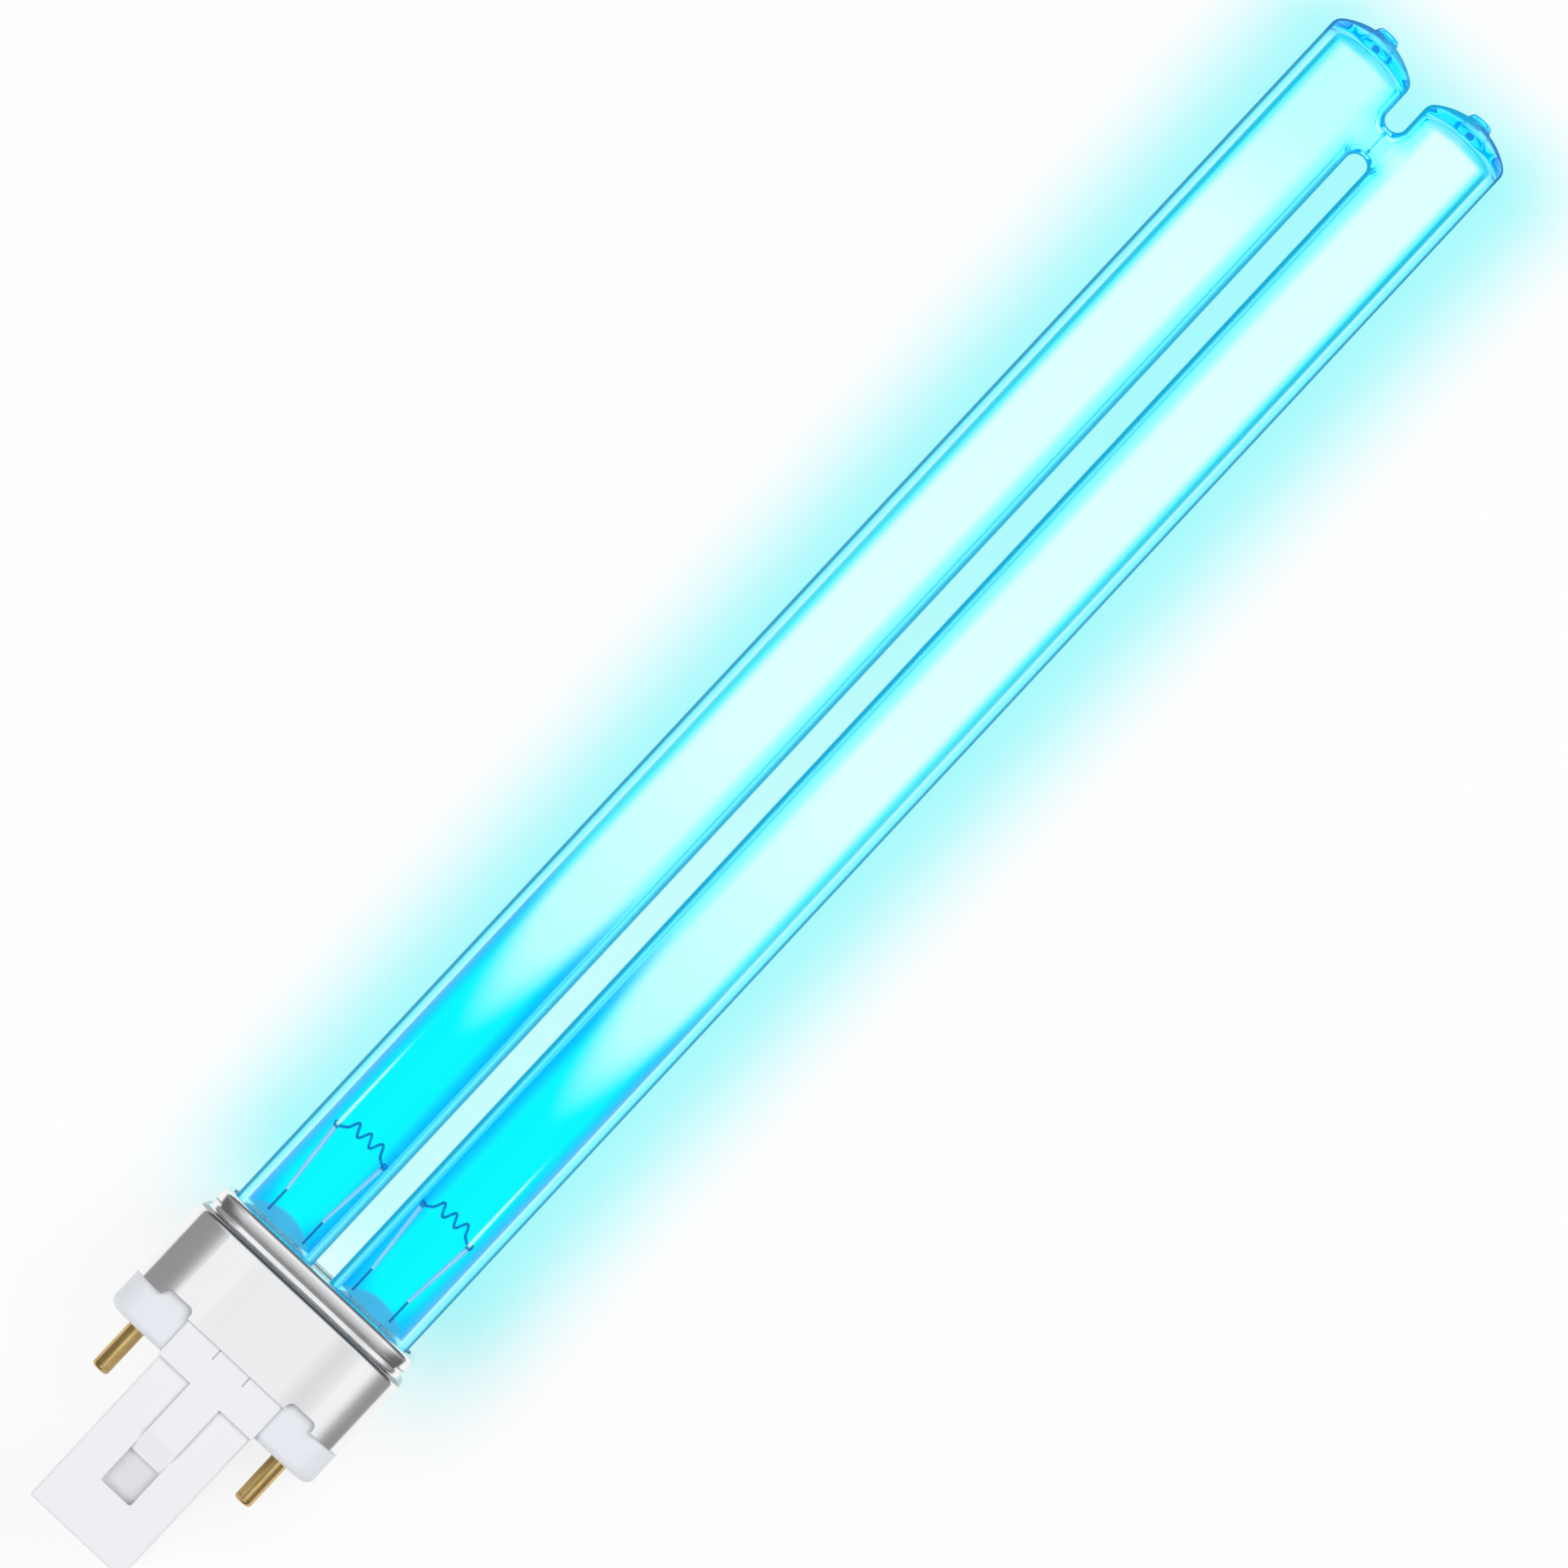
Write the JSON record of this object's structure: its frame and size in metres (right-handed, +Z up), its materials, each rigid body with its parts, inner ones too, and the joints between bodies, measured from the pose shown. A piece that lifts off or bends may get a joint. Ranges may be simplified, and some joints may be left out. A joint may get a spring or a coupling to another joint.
{
  "type": "uvc germicidal lamp tube",
  "caption": "Ultraviolet germicidal lamp: two closed glass tubes joined by a bridge near their tips, on a metal and plastic push-in cap with two contact pins and a central post.",
  "frame": {"origin": "midway between the two contact pins, on the seating plane of the cap", "axes": "+Y along the lamp from the cap towards the closed tips, X from the left tube to the right one, +Z up through the thickness; the lamp lies on the flat back of its cap"},
  "size_m": [0.0318, 0.2361, 0.0186],
  "materials": {
    "quartz_glass": "clear, fire polished",
    "stem_glass": "clear, pressed",
    "cap_metal": "drawn, satin bright",
    "base_plastic": "smooth moulded, white",
    "cement": "cast, fine grained",
    "pin_brass": "turned, bright",
    "support_metal": "drawn nickel",
    "lead_metal": "drawn, dull",
    "filament_metal": "coated tungsten",
    "starter_glass": "blown",
    "capacitor_coat": "dipped",
    "sleeve_metal": "crimped",
    "tinned_wire": "tinned"
  },
  "bodies": {
    "root": {"glass_envelope": "quartz_glass", "cap_shell": "cap_metal", "base_body": "base_plastic", "potting_cement": "cement", "starter_bulb": "starter_glass", "suppressor_capacitor": "capacitor_coat", "stem_left": "stem_glass", "filament_left": "filament_metal", "support_outer_left": "support_metal", "support_inner_left": "support_metal", "lead_outer_left": "lead_metal", "lead_inner_left": "lead_metal", "contact_pin_left": "pin_brass", "joining_sleeve_left": "sleeve_metal", "starter_wire_left": "tinned_wire", "capacitor_wire_left": "tinned_wire", "stem_right": "stem_glass", "filament_right": "filament_metal", "support_outer_right": "support_metal", "support_inner_right": "support_metal", "lead_outer_right": "lead_metal", "lead_inner_right": "lead_metal", "contact_pin_right": "pin_brass", "joining_sleeve_right": "sleeve_metal", "starter_wire_right": "tinned_wire", "capacitor_wire_right": "tinned_wire"}
  },
  "joints": []
}
